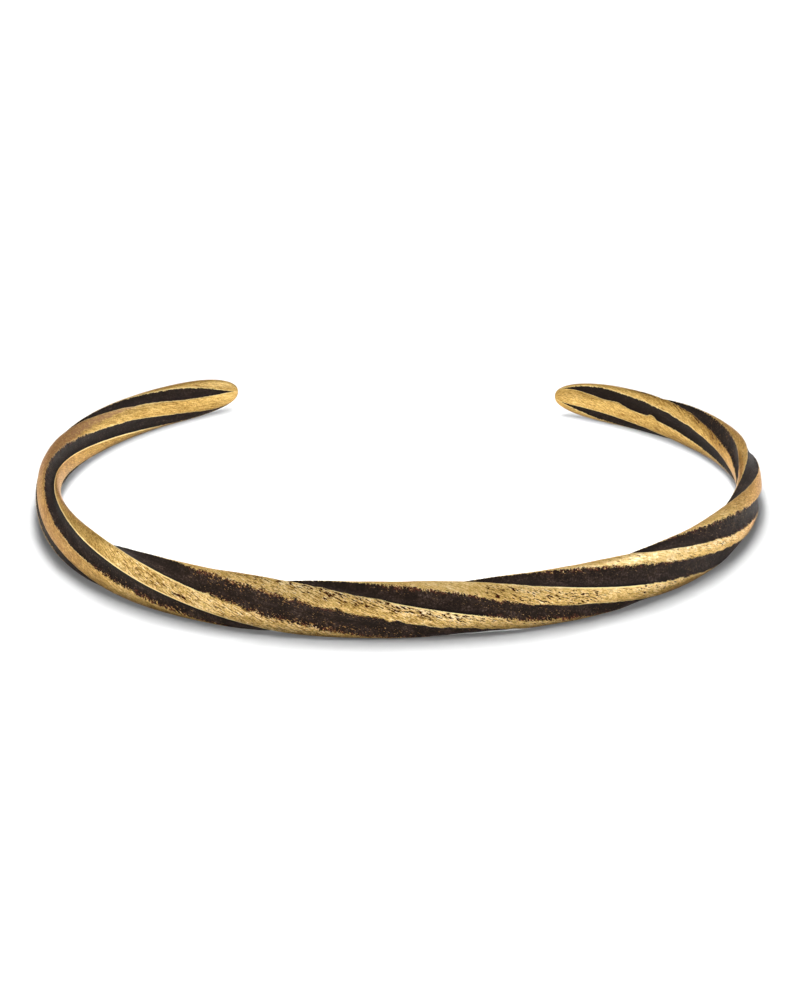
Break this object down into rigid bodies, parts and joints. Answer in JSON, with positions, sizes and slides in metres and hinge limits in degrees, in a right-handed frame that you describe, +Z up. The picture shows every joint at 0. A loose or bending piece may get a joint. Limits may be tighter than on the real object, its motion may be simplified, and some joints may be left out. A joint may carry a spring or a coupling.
{
  "type": "torque bangle",
  "caption": "Open oval bangle: one brass bar with twisted ridges and dark grooves, tapered to two round tips.",
  "frame": {"origin": "on the surface that the bangle lies on, at the middle of the foot of its box", "axes": "+X to the wearer's right across the oval, +Y from the front towards the mouth, +Z up from the surface"},
  "size_m": [0.0638, 0.0504, 0.0052],
  "materials": {
    "antique_brass": "filed bare brass on the ridges, near-black brown patina in the grooves"
  },
  "bodies": {
    "root": {"bangle": "antique_brass"}
  },
  "joints": []
}
